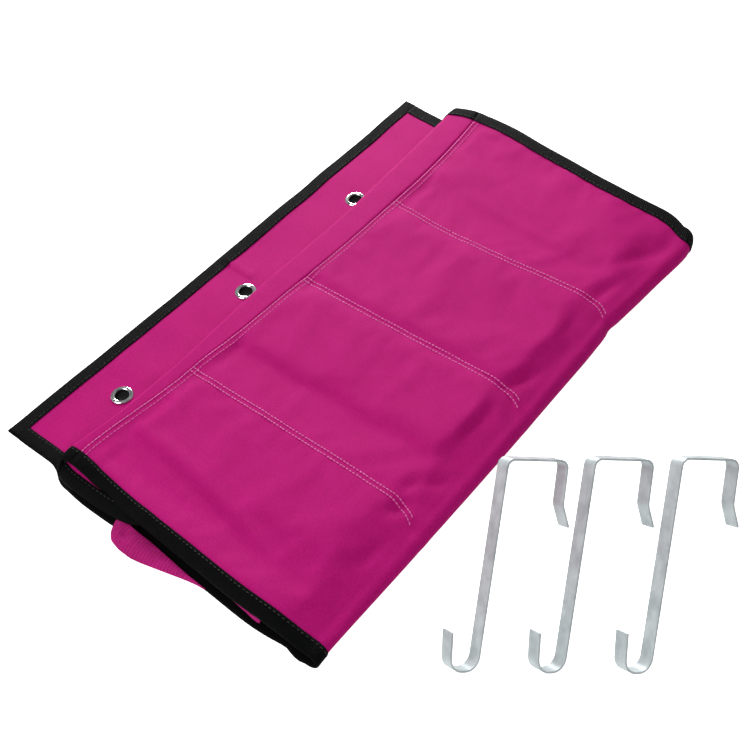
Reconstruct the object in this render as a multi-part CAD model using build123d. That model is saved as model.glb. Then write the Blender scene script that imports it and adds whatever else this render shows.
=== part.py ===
from build123d import *
from dataclasses import dataclass
import math
import os

# Hanging over-the-door pocket organiser, folded up, with three loose door hooks.
# Millimetres, +Z up. The origin is the centre of the middle eyelet on the plane
# the folded organiser lies on; +X runs from the eyelet edge into the folded
# stack, +Y runs along the width. "near" is the -Y side, "far" the +Y side.
# The cloth is folded into four lengths; from the bottom they lie 1, 4, 3, 2.

# ---- overall ------------------------------------------------------------
WIDTH = 480.0        # over the side bindings
HALF_WIDTH = WIDTH / 2
Y_MID = 18.0         # middle of the width; the eyelet row sits off the middle
X_EDGE = -46.0       # outer edge of the eyelet strip
X_FOLD_1 = 278.0     # hinge line of the fold between lengths 1 and 2
X_FOLD_2 = 24.0      # hinge line of the fold between lengths 2 and 3
X_FOLD_3 = 138.0     # hinge line of the fold between lengths 3 and 4
X_FREE = 26.0        # outer edge of the binding on the free end of length 4
FOLD_1_GAP = 5.0     # lengths 1 and 2 stop this far short of the first hinge line
FOLD_GAP = 1.0       # lengths stop this far short of the other hinge lines

# ---- cloth and binding tape ---------------------------------------------
T_CLOTH = 1.0        # laminated back cloth
T_TAPE = 0.9         # one leg of the binding tape
W_TAPE = 12.0        # visible width of the binding tape
FIT = 0.15           # clearance between sewn layers
TAPE_GAP = 0.2       # between an end tape and the side tapes
CLOTH_HALF = HALF_WIDTH - T_TAPE - FIT
OVERRUN = 1.0        # how far cutting blocks reach past what they cut

# ---- pockets ------------------------------------------------------------
COLUMNS = 4
T_SHEET = 0.8        # pocket front cloth
H_CAVITY = 1.5       # flattened pocket space
SEAM = 6.0           # width sewn down at a column seam
HEM = 6.0            # width sewn down at a pocket bottom
MOUTH = 11.0         # length at the mouth left free of seams
T_TRIM = 0.6         # one leg of the elastic mouth binding
W_TRIM = 9.0         # width of the elastic mouth binding
TRIM_FIT = 0.1       # clearance between the pocket cloth and its mouth binding
POCKET_SIDE_GAP = 0.4
POCKET_HALF = HALF_WIDTH - W_TAPE - POCKET_SIDE_GAP   # half width of a pocket strip

# ---- layers of one length, as heights above its back face ---------------
H_CLOTH_BACK = T_TAPE + FIT
H_CLOTH_FRONT = H_CLOTH_BACK + T_CLOTH
H_TAPE_FRONT = H_CLOTH_FRONT + FIT + T_TAPE
H_POCKET_BACK = H_CLOTH_FRONT + FIT
H_SHEET_BACK = H_POCKET_BACK + H_CAVITY
H_SHEET_FRONT = H_SHEET_BACK + T_SHEET
H_LENGTH = H_SHEET_FRONT + TRIM_FIT + T_TRIM


@dataclass
class Length:
    """One length of the organiser; its pockets face up or down."""

    number: int
    z: float          # level of its lowest surface
    up: bool          # pockets face up
    x_start: float    # end at the low x side
    x_end: float      # end at the high x side
    end_bound: bool   # an end tape covers the low x end
    mouth: float      # x of the pockets' mouth edge
    bottom: float     # x of the pockets' bottom edge

    def levels(self, low, high):
        """Z range of the layer between two heights above the back face."""
        if self.up:
            return self.z + low, self.z + high
        return self.z + H_LENGTH - high, self.z + H_LENGTH - low

    def way(self):
        """Direction along X from the mouth to the bottom of the pockets."""
        return 1.0 if self.bottom > self.mouth else -1.0


X_START_2 = X_FOLD_2 + FOLD_GAP
X_END_1 = X_FOLD_1 - FOLD_1_GAP
X_END_3 = X_FOLD_3 - FOLD_GAP
LENGTHS = (
    # number, z, up, x_start, x_end, end_bound, mouth, bottom
    Length(1, 0.0, True, X_EDGE, X_END_1, True, 48.0, 262.0),
    Length(2, 16.8, False, X_START_2, X_END_1, False, 250.0, 42.0),
    Length(3, 11.3, True, X_START_2, X_END_3, False, 34.0, 130.0),
    Length(4, 5.8, False, X_FREE, X_END_3, True, 130.0, 42.0),
)

# ---- eyelets and washers ------------------------------------------------
EYELET_PITCH = 141.0
EYELET_Y = {"near": -EYELET_PITCH, "mid": 0.0, "far": EYELET_PITCH}
R_HOLE = 5.7
R_BARREL = 6.2
R_FLANGE = 9.0
R_CURL = 7.0         # rim at the foot of the barrel
T_CURL = 0.3
H_FLANGE_RIM = 0.35  # edge of the domed flange, above its underside
H_FLANGE_TOP = 1.05  # crown of the domed flange, above its underside
R_WASHER = 8.6
T_WASHER = 0.5
Z_WASHER = 0.35      # underside of the washer

# ---- door hooks (bent strip) --------------------------------------------
STRIP_W = 11.0
STRIP_T = 1.4
HOOK_BAR = 49.0      # outside width over the door part
HOOK_H = 139.5       # overall height
HOOK_LEAN = 2.75     # lean of the long leg away from the door, degrees
SHORT_LEG = 45.0
SHORT_BEND = 14.5    # height of the flared end of the short leg
SHORT_FLARE = 6.0    # how far the flared end stands out
SHORT_INSET = 0.5    # how far the short leg comes in above the flare
J_WIDTH = 22.0
J_HEIGHT = 26.5
J_SPLAY = 3.0        # lean of the J's tip away from the leg, degrees
FLARE_R = 11.0       # bend radii, on the centre line of the strip
BAR_R = 5.5
J_R = 9.4
HOOK_ALONG = (0.4674, 0.7568, -0.4570)   # way the bar points
HOOK_UP = (-0.3268, 0.6282, 0.7061)      # way from the J up to the bar
# x, y of the middle of each hook's J bend
HOOK_PLACES = ((354.8, -173.8), (399.0, -140.5), (442.7, -107.6))


# ---- helpers ------------------------------------------------------------
def box(x0, x1, y0, y1, z0, z1):
    """Axis-aligned block between two corners, given in either order."""
    x0, x1 = min(x0, x1), max(x0, x1)
    y0, y1 = min(y0, y1), max(y0, y1)
    return Pos((x0 + x1) / 2, (y0 + y1) / 2, (z0 + z1) / 2) * Box(x1 - x0, y1 - y0, z1 - z0)


def wide(x0, x1, half, z0, z1):
    """Block across the width, half either side of the middle."""
    return box(x0, x1, Y_MID - half, Y_MID + half, z0, z1)


def save(shape, name):
    shape.label = name
    export_step(shape, "parts/" + name + ".step")


# ---- back cloth and binding tapes ---------------------------------------
def panel(length):
    """Back cloth of one length."""
    inset = T_TAPE + FIT if length.end_bound else 0.0
    z0, z1 = length.levels(H_CLOTH_BACK, H_CLOTH_FRONT)
    cloth = wide(length.x_start + inset, length.x_end, CLOTH_HALF, z0, z1)
    if length.number == 1:
        for y in EYELET_Y.values():
            cloth -= Pos(0, y, (z0 + z1) / 2) * Cylinder(R_BARREL + FIT, 4 * T_CLOTH)
    return cloth


def end_tape(length):
    """U-section tape over the low x end of the cloth, full width."""
    x0, x1 = length.x_start, length.x_start + W_TAPE
    body = wide(x0, x1, HALF_WIDTH, *length.levels(0, H_TAPE_FRONT))
    return body - wide(x0 + T_TAPE, x1 + OVERRUN, HALF_WIDTH + OVERRUN,
                       *length.levels(T_TAPE, H_TAPE_FRONT - T_TAPE))


def side_tape(length, side):
    """U-section tape over a side of the cloth; side is -1 (near) or +1 (far)."""
    x0 = length.x_start + (W_TAPE + TAPE_GAP if length.end_bound else 0.0)
    x1 = length.x_end
    body = box(x0, x1, Y_MID + side * HALF_WIDTH, Y_MID + side * (HALF_WIDTH - W_TAPE),
               *length.levels(0, H_TAPE_FRONT))
    return body - box(x0 - OVERRUN, x1 + OVERRUN, Y_MID + side * (HALF_WIDTH - T_TAPE),
                      Y_MID + side * (HALF_WIDTH - W_TAPE - OVERRUN),
                      *length.levels(T_TAPE, H_TAPE_FRONT - T_TAPE))


# ---- pocket strips and mouth bindings -----------------------------------
def pocket_row(length):
    """One strip of cloth sewn down into pockets open at the mouth edge."""
    mouth, bottom, way = length.mouth, length.bottom, length.way()
    strip = wide(mouth + way * (T_TRIM + TRIM_FIT), bottom, POCKET_HALF,
                 *length.levels(H_POCKET_BACK, H_SHEET_FRONT))
    cavity = length.levels(H_POCKET_BACK - OVERRUN, H_SHEET_BACK)
    pitch = 2 * POCKET_HALF / COLUMNS
    for i in range(COLUMNS):
        y0 = Y_MID - POCKET_HALF + i * pitch
        strip -= box(mouth + way * (MOUTH - OVERRUN), bottom - way * HEM,
                     y0 + SEAM / 2, y0 + pitch - SEAM / 2, *cavity)
    # the mouth is open right across the strip
    strip -= wide(mouth - way * OVERRUN, mouth + way * MOUTH, POCKET_HALF + OVERRUN, *cavity)
    return strip


def mouth_trim(length):
    """U-section elastic over the mouth edge of the pocket strip."""
    mouth, way = length.mouth, length.way()
    low, high = H_SHEET_BACK - TRIM_FIT, H_SHEET_FRONT + TRIM_FIT
    body = wide(mouth, mouth + way * W_TRIM, POCKET_HALF,
                *length.levels(low - T_TRIM, high + T_TRIM))
    return body - wide(mouth + way * T_TRIM, mouth + way * (W_TRIM + OVERRUN),
                       POCKET_HALF + OVERRUN, *length.levels(low, high))


# ---- eyelets and washers ------------------------------------------------
def eyelet():
    """Barrel with a curled foot and a domed flange on top of the cloth."""
    z_flange = LENGTHS[0].z + H_CLOTH_FRONT + FIT
    z_rim = z_flange + H_FLANGE_RIM
    with BuildPart() as turned:
        with BuildSketch(Plane.XZ):
            with BuildLine():
                Polyline(
                    (R_HOLE, 0.0), (R_CURL, 0.0), (R_CURL, T_CURL), (R_BARREL, T_CURL),
                    (R_BARREL, z_flange), (R_FLANGE, z_flange), (R_FLANGE, z_rim),
                )
                ThreePointArc((R_FLANGE, z_rim),
                              ((R_FLANGE + R_HOLE) / 2, z_flange + H_FLANGE_TOP),
                              (R_HOLE, z_rim))
                Line((R_HOLE, z_rim), (R_HOLE, 0.0))
            make_face()
        revolve(axis=Axis.Z)
    return turned.part


def washer():
    """Flat ring round the barrel, centred on z = 0."""
    return Cylinder(R_WASHER, T_WASHER) - Cylinder(R_BARREL + FIT, 4 * T_WASHER)


# ---- door hooks ---------------------------------------------------------
def left_of(way):
    return Vector(-way.Y, way.X, 0)


def bent_strip(path, radii, thickness, width):
    """Strip bent along a centre line in XY and extruded along +Z; radii holds
    the centre line radius of each inner corner."""
    points = [Vector(*point) for point in path]
    half = thickness / 2
    sides = (1, -1)   # left and right of the path
    first_way = (points[1] - points[0]).normalized()
    starts = {side: points[0] + left_of(first_way) * (side * half) for side in sides}
    reached = dict(starts)
    lines = {side: [] for side in sides}
    for before, corner, after, radius in zip(points, points[1:], points[2:], radii):
        way_in = (corner - before).normalized()
        way_out = (after - corner).normalized()
        cross = way_in.X * way_out.Y - way_in.Y * way_out.X
        dot = way_in.X * way_out.X + way_in.Y * way_out.Y
        angle = math.acos(max(-1.0, min(1.0, dot)))
        turn = 1.0 if cross > 0 else -1.0
        cut = radius * math.tan(angle / 2)
        arc_in, arc_out = corner - way_in * cut, corner + way_out * cut
        centre = arc_in + left_of(way_in) * (turn * radius)
        middle = ((arc_in - centre).normalized() + (arc_out - centre).normalized()).normalized()
        for side in sides:
            arc_start = arc_in + left_of(way_in) * (side * half)
            arc_end = arc_out + left_of(way_out) * (side * half)
            arc_mid = centre + middle * (radius - turn * side * half)
            lines[side].append(Line(reached[side], arc_start))
            lines[side].append(ThreePointArc(arc_start, arc_mid, arc_end))
            reached[side] = arc_end
    last_way = (points[-1] - points[-2]).normalized()
    ends = {side: points[-1] + left_of(last_way) * (side * half) for side in sides}
    for side in sides:
        lines[side].append(Line(reached[side], ends[side]))
    outline = lines[1] + lines[-1] + [Line(starts[1], starts[-1]), Line(ends[1], ends[-1])]
    face = Face(Wire([edge for line in outline for edge in line.edges()]))
    return extrude(face, width, dir=(0, 0, 1))


def door_hook():
    """Upright hook in the XZ plane, the middle of its J bend at the origin."""
    half_t = STRIP_T / 2
    half_j = J_WIDTH / 2 - half_t
    x_leg_top = half_j + (HOOK_H - STRIP_T) * math.tan(math.radians(HOOK_LEAN))
    x_short = x_leg_top + HOOK_BAR - STRIP_T
    z_tip = HOOK_H - SHORT_LEG
    z_bar = HOOK_H - half_t
    # centre line from the tip of the short leg, over the bar, to the tip of the J
    path = [
        (x_short + SHORT_FLARE, z_tip),
        (x_short - SHORT_INSET, z_tip + SHORT_BEND),
        (x_short, z_bar),
        (x_leg_top, z_bar),
        (half_j, half_t),
        (-half_j, half_t),
        (-half_j - math.tan(math.radians(J_SPLAY)) * J_HEIGHT, J_HEIGHT),
    ]
    strip = bent_strip(path, [FLARE_R, BAR_R, BAR_R, J_R, J_R], STRIP_T, STRIP_W)
    return Pos(0, STRIP_W / 2, 0) * Rot(90, 0, 0) * strip


# ---- build and save -----------------------------------------------------
os.makedirs("parts", exist_ok=True)

save(end_tape(LENGTHS[0]), "top_binding")
save(end_tape(LENGTHS[3]), "bottom_binding")
for length in LENGTHS:
    save(panel(length), f"panel_{length.number}")
    save(side_tape(length, -1), f"binding_{length.number}_near")
    save(side_tape(length, 1), f"binding_{length.number}_far")
    save(pocket_row(length), f"pocket_row_{length.number}")
    save(mouth_trim(length), f"mouth_trim_{length.number}")

for tag, y in EYELET_Y.items():
    save(Pos(0, y, 0) * eyelet(), "eyelet_" + tag)
    save(Pos(0, y, Z_WASHER + T_WASHER / 2) * washer(), "washer_" + tag)

hook = door_hook()
for i, (x, y) in enumerate(HOOK_PLACES, 1):
    tipped = Plane(origin=(x, y, 0), x_dir=HOOK_ALONG, z_dir=HOOK_UP).location * hook
    # shift in Z until the lowest point rests on the ground plane
    save(Pos(0, 0, -tipped.bounding_box().min.Z) * tipped, f"hook_{i}")
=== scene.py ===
"""Cloth hanging organiser, folded in a zigzag and lying on a pale floor.

Shapes are worked out in millimetres and scaled to metres when a mesh is made. +X runs along
the folded lengths, from the eyelet strip to the right fold; +Y runs across the cloth, from
its near edge to its far edge; +Z is up. Going along the cloth:
  length 1  on the floor, from the eyelet strip (x = -46) to the right fold (x = 270 to 280)
  length 2  the top layer, back to the left fold (x = 8 to 26)
  length 3  tucked under it, out to the inner fold (x = 138)
  length 4  under length 3, back to the free edge
A surface is a function of (s, w): s runs 0..1 along a piece, w is mm of cloth in from the
near edge.
"""
import math

import bpy
import numpy as np
from mathutils import Matrix, Vector


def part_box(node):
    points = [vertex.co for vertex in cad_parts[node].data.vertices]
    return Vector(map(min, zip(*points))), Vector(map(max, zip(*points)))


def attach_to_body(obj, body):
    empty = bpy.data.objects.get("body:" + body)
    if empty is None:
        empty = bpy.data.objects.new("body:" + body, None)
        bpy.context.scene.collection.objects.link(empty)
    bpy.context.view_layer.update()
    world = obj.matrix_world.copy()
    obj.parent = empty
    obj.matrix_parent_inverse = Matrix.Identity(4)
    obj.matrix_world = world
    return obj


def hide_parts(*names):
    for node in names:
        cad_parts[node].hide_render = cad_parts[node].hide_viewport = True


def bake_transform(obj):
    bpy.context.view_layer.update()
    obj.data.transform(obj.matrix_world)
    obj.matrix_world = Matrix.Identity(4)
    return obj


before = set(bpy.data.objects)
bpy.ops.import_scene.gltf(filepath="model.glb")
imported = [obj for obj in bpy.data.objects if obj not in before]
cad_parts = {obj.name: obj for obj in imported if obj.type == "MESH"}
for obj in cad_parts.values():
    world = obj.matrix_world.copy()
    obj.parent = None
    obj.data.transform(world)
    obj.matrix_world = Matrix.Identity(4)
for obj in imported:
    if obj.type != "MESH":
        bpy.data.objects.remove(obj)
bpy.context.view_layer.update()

# ------------------------------------------------------------------ sizes (mm)
MM = 0.001
WIDTH = 480.0                    # cloth across, near edge to far edge
CLOTH = 0.9                      # cloth thickness
POCKET_CLOTH = 0.7
TAPE_DEPTH = 12.0                # how far an edge tape reaches in
EYELET_Y = (-141.0, 0.0, 141.0)  # eyelet centres, all at x = 0
EYELET_HOLE = 7.3                # radius of the hole in the cloth

LEVEL_1 = 1.55                   # mid levels of the layers
LEVEL_2 = 20.0
LEVEL_3 = 12.85
LEVEL_4 = 9.45

EDGE_X = -46.5                   # eyelet edge of the strip
JOIN_1_X = 240.0                 # strip piece ends, top piece begins
JOIN_3_X = 126.0                 # tucked piece ends, tail piece begins
INNER_FOLD_X = 138.0
FREE_X = 27.2                    # free edge of the tail
TUCKED_FAR_Y = 258.0             # far edge of lengths 3 and 4
RIGHT_RADIUS = 9.0               # reach of the three folds along x
LEFT_RADIUS = 2.6
INNER_RADIUS = 2.6

# shares of s between which each piece turns over its fold
TOP_TURN = (0.10, 0.22)
TUCK_TURN = (0.10, 0.26)
TAIL_TURN = (0.09, 0.14)

POCKET_MID_Y = 18.0
POCKET_FAR_Y = {num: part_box("pocket_row_%d" % num)[1][1] / MM for num in (1, 2, 3, 4)}


# ------------------------------------------------------------------ shaping functions
def curve(stations_x, values):
    """Smooth interpolation through points, flat outside them."""
    xp, fp = np.array(stations_x, float), np.array(values, float)
    slope = np.gradient(fp, xp)
    secant = np.diff(fp) / np.diff(xp)
    for i in range(len(fp)):                       # limit overshoot
        beside = [secant[k] for k in (i - 1, i) if 0 <= k < len(secant)]
        if min(beside) < 0 < max(beside):
            slope[i] = 0.0
        else:
            limit = 3 * min(abs(v) for v in beside)
            slope[i] = np.clip(slope[i], -limit, limit)

    def value(x):
        x = np.clip(np.asarray(x, float), xp[0], xp[-1])
        k = np.clip(np.searchsorted(xp, x, side="right") - 1, 0, len(xp) - 2)
        h = xp[k + 1] - xp[k]
        t = (x - xp[k]) / h
        return ((1 + 2 * t) * (1 - t) ** 2 * fp[k] + t * (1 - t) ** 2 * h * slope[k]
                + t * t * (3 - 2 * t) * fp[k + 1] + t * t * (t - 1) * h * slope[k + 1])
    return value


def smooth(t):
    t = np.clip(t, 0, 1)
    return t * t * (3 - 2 * t)


def rise(x, start, length):
    """0 up to start, then smoothly to 1 over the length."""
    return smooth((x - start) / length)


def fall(x, end, length):
    """1 at first, then smoothly over the length to 0 at the end."""
    return smooth((end - x) / length)


def gauss(x, centre, half_width):
    return np.exp(-((x - centre) / half_width) ** 2)


class Noise:
    """Smooth seeded sum of waves."""
    WAVES = 14

    def __init__(self, seed, scale):
        draw = np.random.RandomState(seed)
        angle = draw.uniform(0, 2 * math.pi, self.WAVES)
        k = 2 * math.pi / scale * draw.uniform(0.55, 1.6, self.WAVES)
        phase = draw.uniform(0, 2 * math.pi, self.WAVES)
        self.waves = list(zip(k * np.cos(angle), k * np.sin(angle), phase))

    def __call__(self, x, y):
        x, y = np.asarray(x, float), np.asarray(y, float)
        total = np.zeros(np.broadcast(x, y).shape)
        for kx, ky, phase in self.waves:
            total += np.sin(kx * x + ky * y + phase)
        return total / math.sqrt(self.WAVES)


broad_noise = Noise(seed=3, scale=150)
mid_noise = Noise(seed=5, scale=62)
fine_noise = Noise(seed=8, scale=24)


# ------------------------------------------------------------------ mesh helpers
def stations(breaks, counts):
    """Evenly spaced values between the breaks; each count includes both ends of its run."""
    runs = [np.linspace(a, b, n) for a, b, n in zip(breaks, breaks[1:], counts)]
    return np.concatenate([run[:-1] for run in runs[:-1]] + runs[-1:])


def grid_lines(lo, hi, step, fine):
    """Grid positions with closer lines near given places (centre, half width, step)."""
    places = list(np.linspace(lo, hi, max(2, int(round((hi - lo) / step)) + 1)))
    for centre, half, small in fine:
        places = [p for p in places if abs(p - centre) > half + small * 0.4 or p in (lo, hi)]
        places += list(np.linspace(centre - half, centre + half, int(round(2 * half / small)) + 1))
    return np.array(sorted(p for p in set(np.round(places, 4)) if lo - 1e-6 <= p <= hi + 1e-6))


def unit(vectors):
    return vectors / np.maximum(np.linalg.norm(vectors, axis=-1, keepdims=True), 1e-9)


def normals(points):
    return unit(np.cross(np.gradient(points, axis=0), np.gradient(points, axis=1)))


def upward(vectors):
    return vectors * np.sign(vectors[..., 2:3])


def cell_corners(rows, columns):
    """The four corner indices of every cell of a grid."""
    index = np.arange(rows * columns).reshape(rows, columns)
    return index[:-1, :-1], index[1:, :-1], index[1:, 1:], index[:-1, 1:]


def tube_quads(rings, count):
    """Side faces of a tube of rings with count points each."""
    index = np.arange(rings * count).reshape(rings, count)
    following = np.roll(index, -1, axis=1)
    corners = [index[:-1], following[:-1], following[1:], index[1:]]
    return np.stack(corners, -1).reshape(-1, 4)


class Piece:
    """Collects vertices, faces, material slots and UVs (mm of cloth) of one object."""

    def __init__(self):
        self.verts, self.faces, self.slots, self.uvs = [], [], [], []
        self.count = 0

    def add(self, verts, faces, slot=0, uv=None):
        verts = np.asarray(verts, float).reshape(-1, 3)
        uv = np.zeros((len(verts), 2)) if uv is None else np.asarray(uv, float).reshape(-1, 2)
        self.faces += [[self.count + i for i in face] for face in faces]
        self.slots += [slot] * len(faces)
        self.verts.append(verts)
        self.uvs.append(uv)
        self.count += len(verts)

    def build(self, name, materials):
        mesh = bpy.data.meshes.new(name)
        mesh.from_pydata((np.concatenate(self.verts) * MM).tolist(), [], self.faces)
        for mat in materials:
            mesh.materials.append(mat)
        mesh.polygons.foreach_set("material_index", self.slots)
        mesh.polygons.foreach_set("use_smooth", [True] * len(self.faces))
        corner = np.zeros(len(mesh.loops), np.int32)
        mesh.loops.foreach_get("vertex_index", corner)
        uv = (np.concatenate(self.uvs)[corner] * MM).astype(np.float32)
        mesh.uv_layers.new(name="UVMap").data.foreach_set("uv", uv.ravel())
        mesh.update()
        return link_object(name, mesh)


def link_object(name, data):
    obj = bpy.data.objects.new(name, data)
    bpy.context.scene.collection.objects.link(obj)
    return obj


def shell(piece, points, thickness, keep=None):
    """Closed sheet about the mid surface points[i, j]; keep marks the cells that exist."""
    rows, columns = points.shape[:2]
    if keep is None:
        keep = np.ones((rows - 1, columns - 1), bool)
    # UV: mean distance run along each axis of the grid
    step = np.linalg.norm(np.diff(points, axis=0), axis=2)
    u = np.concatenate([np.zeros((1, columns)), np.cumsum(step, axis=0)], 0).mean(axis=1)
    step = np.linalg.norm(np.diff(points, axis=1), axis=2)
    v = np.concatenate([np.zeros((rows, 1)), np.cumsum(step, axis=1)], 1).mean(axis=0)
    uv = np.stack(np.meshgrid(u, v, indexing="ij"), -1).reshape(-1, 2)
    uv = np.concatenate([uv, uv])

    total = rows * columns
    a, b, c, d = cell_corners(rows, columns)
    faces = [np.stack([k[keep] for k in (a, b, c, d)], -1),
             np.stack([k[keep] for k in (a, d, c, b)], -1) + total]
    # walls wherever a kept cell has no kept neighbour
    padded = np.zeros((rows + 1, columns + 1), bool)
    padded[1:-1, 1:-1] = keep
    for start, end, neighbour in ((a, b, padded[1:-1, :-2]), (b, c, padded[2:, 1:-1]),
                                  (c, d, padded[1:-1, 2:]), (d, a, padded[:-2, 1:-1])):
        wall = keep & ~neighbour
        start, end = start[wall], end[wall]
        faces.append(np.stack([end, start, start + total, end + total], -1))
    faces = np.concatenate(faces)

    offset = normals(points) * (thickness / 2)
    verts = np.concatenate([(points + offset).reshape(-1, 3), (points - offset).reshape(-1, 3)])
    used = np.unique(faces)
    remap = np.zeros(2 * total, int)
    remap[used] = np.arange(len(used))
    piece.add(verts[used], remap[faces].tolist(), uv=uv[used])


def sweep(piece, rings, uv):
    """Closed cross-sections rings[i] joined along i, with end faces."""
    rings = np.asarray(rings, float)
    n, k = rings.shape[:2]
    ends = [list(range(k))[::-1], list(range((n - 1) * k, n * k))]
    piece.add(rings, tube_quads(n, k).tolist() + ends, uv=uv)


# upper outline of an edge tape: (distance in from the edge, height off the mid surface)
TAPE_LIP = [(12.0, 0.50), (12.0, 1.05), (11.6, 1.22), (8.0, 1.30), (4.0, 1.32), (1.2, 1.34),
            (0.35, 1.02), (-0.15, 0.45)]
TAPE_SECTION = (TAPE_LIP + [(depth, -height) for depth, height in reversed(TAPE_LIP)]
                + [(6.0, -0.50), (1.1, -0.48), (1.1, 0.48), (6.0, 0.50)])
UNDER_V = 20                     # UV shift that sets the underside apart from the upper side


def surface_frame(surf, s, w, inward, one_side=False):
    """Point, normal and inward direction; one_side samples only towards the cloth."""
    e = 0.6
    point = surf(s, w)
    along = surf(s + 0.002, w) - surf(s - 0.002, w)
    if one_side:
        across = (surf(s, w + inward * e) - point) * inward
    else:
        across = surf(s, w + e) - surf(s, w - e)
    return point, unit(np.cross(along, across)), unit(across) * inward


def tape(piece, surf, s, w_edge, inward):
    """U-section binding over the edge w = w_edge."""
    frames = {depth: surface_frame(surf, s, np.full_like(s, w_edge + inward * max(depth, 0.0)),
                                   inward, one_side=depth <= 0)
              for depth in {row[0] for row in TAPE_SECTION}}
    step = np.linalg.norm(np.diff(frames[6.0][0], axis=0), axis=1)
    u = np.concatenate([[0], np.cumsum(step)])
    rings, uvs = [], []
    for depth, height in TAPE_SECTION:
        point, normal, inwards = frames[depth]
        rings.append(point + normal * height + (inwards * depth if depth < 0 else 0))
        v = depth + (UNDER_V if height < 0 else 0)
        uvs.append(np.stack([u, np.full_like(u, v)], -1))
    sweep(piece, np.stack(rings, 1), np.stack(uvs, 1))


THREAD_SIDES = 6
THREAD_RING = [(math.cos(a), 0.8 * math.sin(a))
               for a in np.arange(THREAD_SIDES) * math.pi / 3]
# rings of one thread: share of its length, size, height in radii
THREAD_RINGS = ((0.0, 0.25, -0.35), (0.14, 0.85, 0.0), (0.5, 1.0, 0.12),
                (0.86, 0.85, 0.0), (1.0, 0.25, -0.35))
THREAD_CAPS = [[3, 2, 1, 0], [5, 4, 3, 0], [24, 25, 26, 27], [24, 27, 28, 29]]
THREAD_TILT = 0.0                # sideways slant in mm; 0 keeps the threads in line
POCKET_STITCH = dict(pitch=3.2, length=2.6, radius=0.30, lift=0.04)
TAPE_STITCH = dict(pitch=4.0, length=2.2, lift=0.02)


def stitch(piece, points, up, pitch, length, radius, lift, seed):
    """Threads (material slot 1) lying along a polyline with normals up."""
    run = np.concatenate([[0], np.cumsum(np.linalg.norm(np.diff(points, axis=0), axis=1))])
    n = int((run[-1] - length - 1) / pitch)
    if n < 1:
        return
    draw = np.random.RandomState(seed)
    start = 0.6 + np.arange(n) * pitch + draw.uniform(-0.06, 0.06, n) * pitch
    lengths = length * draw.uniform(0.85, 1.08, n)
    tilt = draw.normal(0, 1, n) * THREAD_TILT

    def at(values, place):
        return np.stack([np.interp(place, run, values[:, c]) for c in range(3)], -1)

    rings = []
    for share, size, height in THREAD_RINGS:
        place = start + share * lengths
        normal = at(up, place)
        normal /= np.linalg.norm(normal, axis=1, keepdims=True)
        ahead = at(points, np.minimum(place + 0.4, run[-1]))
        behind = at(points, np.maximum(place - 0.4, 0))
        side = np.cross(normal, unit(ahead - behind))
        centre = (at(points, place) + normal * (lift + height * radius)
                  + side * (tilt * (share - 0.5))[:, None])
        r = size * radius
        rings.append(np.stack([centre + side * (r * cx) + normal * (r * cy)
                               for cx, cy in THREAD_RING], 1))
    verts_each = len(THREAD_RINGS) * THREAD_SIDES
    faces = np.concatenate([tube_quads(len(THREAD_RINGS), THREAD_SIDES), THREAD_CAPS])
    faces = faces[None] + (np.arange(n) * verts_each)[:, None, None]
    piece.add(np.stack(rings, 1), faces.reshape(-1, 4).tolist(), slot=1)


# ------------------------------------------------------------------ shader helpers
class Graph:
    """Short ways to add nodes to a node tree."""

    def __init__(self, tree):
        self.tree = tree
        tree.nodes.clear()

    def node(self, kind, **props):
        node = self.tree.nodes.new(kind)
        for key, value in props.items():
            setattr(node, key, value)
        return node

    def put(self, node, values):
        """Sets or links inputs: {input name or index: value or output socket}."""
        for key, value in values.items():
            if isinstance(value, bpy.types.NodeSocket):
                self.tree.links.new(value, node.inputs[key])
            else:
                node.inputs[key].default_value = value

    def math(self, operation, *values):
        node = self.node("ShaderNodeMath", operation=operation)
        self.put(node, dict(enumerate(values)))
        return node.outputs[0]

    def scaled(self, source, gain, offset=None):
        if offset is None:
            return self.math("MULTIPLY", source, gain)
        return self.math("MULTIPLY_ADD", source, gain, offset)

    def mix(self, factor, a, b):
        node = self.node("ShaderNodeMix", data_type="RGBA")
        self.put(node, {0: factor, 6: a, 7: b})
        return node.outputs[2]

    def ramp(self, source, stops):
        node = self.node("ShaderNodeValToRGB")
        elements = node.color_ramp.elements
        while len(elements) < len(stops):
            elements.new(0.5)
        for element, (position, colour) in zip(elements, stops):
            element.position = position
            element.color = colour
        self.put(node, {0: source})
        return node.outputs[0]

    def noise(self, vector, scale, detail=2.0):
        node = self.node("ShaderNodeTexNoise")
        self.put(node, {"Scale": scale, "Detail": detail, "Vector": vector})
        return node.outputs[0]

    def bump(self, height, strength, distance, **normal):
        node = self.node("ShaderNodeBump")
        self.put(node, {"Strength": strength, "Distance": distance, "Height": height, **normal})
        return node.outputs[0]

    def cloth_uv(self):
        """The UV vector in metres of cloth, and its u and v."""
        vector = self.node("ShaderNodeUVMap", uv_map="UVMap").outputs[0]
        parts = self.node("ShaderNodeSeparateXYZ")
        self.put(parts, {0: vector})
        return vector, parts.outputs[0], parts.outputs[1]

    def phase(self, coordinate, period):
        return self.scaled(coordinate, gain=2 * math.pi / period)

    def weave(self, u, v):
        """Plain weave height 0..1 from two phases."""
        height = self.math("MULTIPLY", self.math("SINE", u), self.math("SINE", v))
        return self.scaled(height, gain=0.5, offset=0.5)


def new_material(name):
    mat = bpy.data.materials.new(name)
    mat.use_nodes = True
    graph = Graph(mat.node_tree)
    output = graph.node("ShaderNodeOutputMaterial")
    bsdf = graph.node("ShaderNodeBsdfPrincipled")
    graph.put(output, {0: bsdf.outputs[0]})
    return mat, graph, bsdf


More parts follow.
